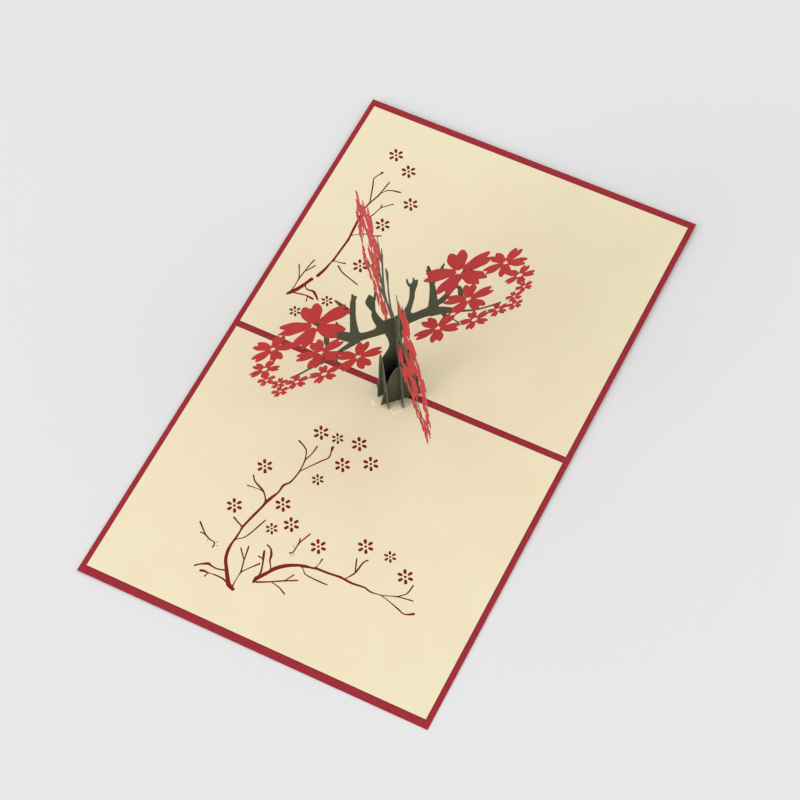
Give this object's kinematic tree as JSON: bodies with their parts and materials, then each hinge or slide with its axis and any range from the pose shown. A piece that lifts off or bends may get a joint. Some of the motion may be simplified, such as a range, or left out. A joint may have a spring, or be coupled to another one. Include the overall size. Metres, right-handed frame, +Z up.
{
  "type": "pop up card",
  "caption": "Open greeting card with a slotted paper tree in blossom that stands across the fold, on cut liners glued to a folded cover.",
  "frame": {"origin": "middle of the fold on the underside of the open cover", "axes": "+X along the fold to the viewer's right, +Y across the fold towards the upper half, +Z up"},
  "size_m": [0.18, 0.3, 0.1051],
  "materials": {
    "cover_card": "dark red card with a fine fibrous tooth",
    "liner_paper": "cream matt paper with laser cut edges",
    "tree_card": "dark olive green matt card",
    "blossom_card": "red matt card"
  },
  "bodies": {
    "root": {"cover": "cover_card", "liner_lower": "liner_paper", "liner_upper": "liner_paper", "tall_slice_a": "tree_card", "tall_slice_b": "tree_card", "root_slice_a_front": "tree_card", "root_slice_a_back": "tree_card", "root_slice_b_left": "tree_card", "root_slice_b_right": "tree_card", "spray_a_left": "blossom_card", "spray_a_right": "blossom_card", "spray_b_near": "blossom_card", "spray_b_far": "blossom_card"}
  },
  "joints": []
}
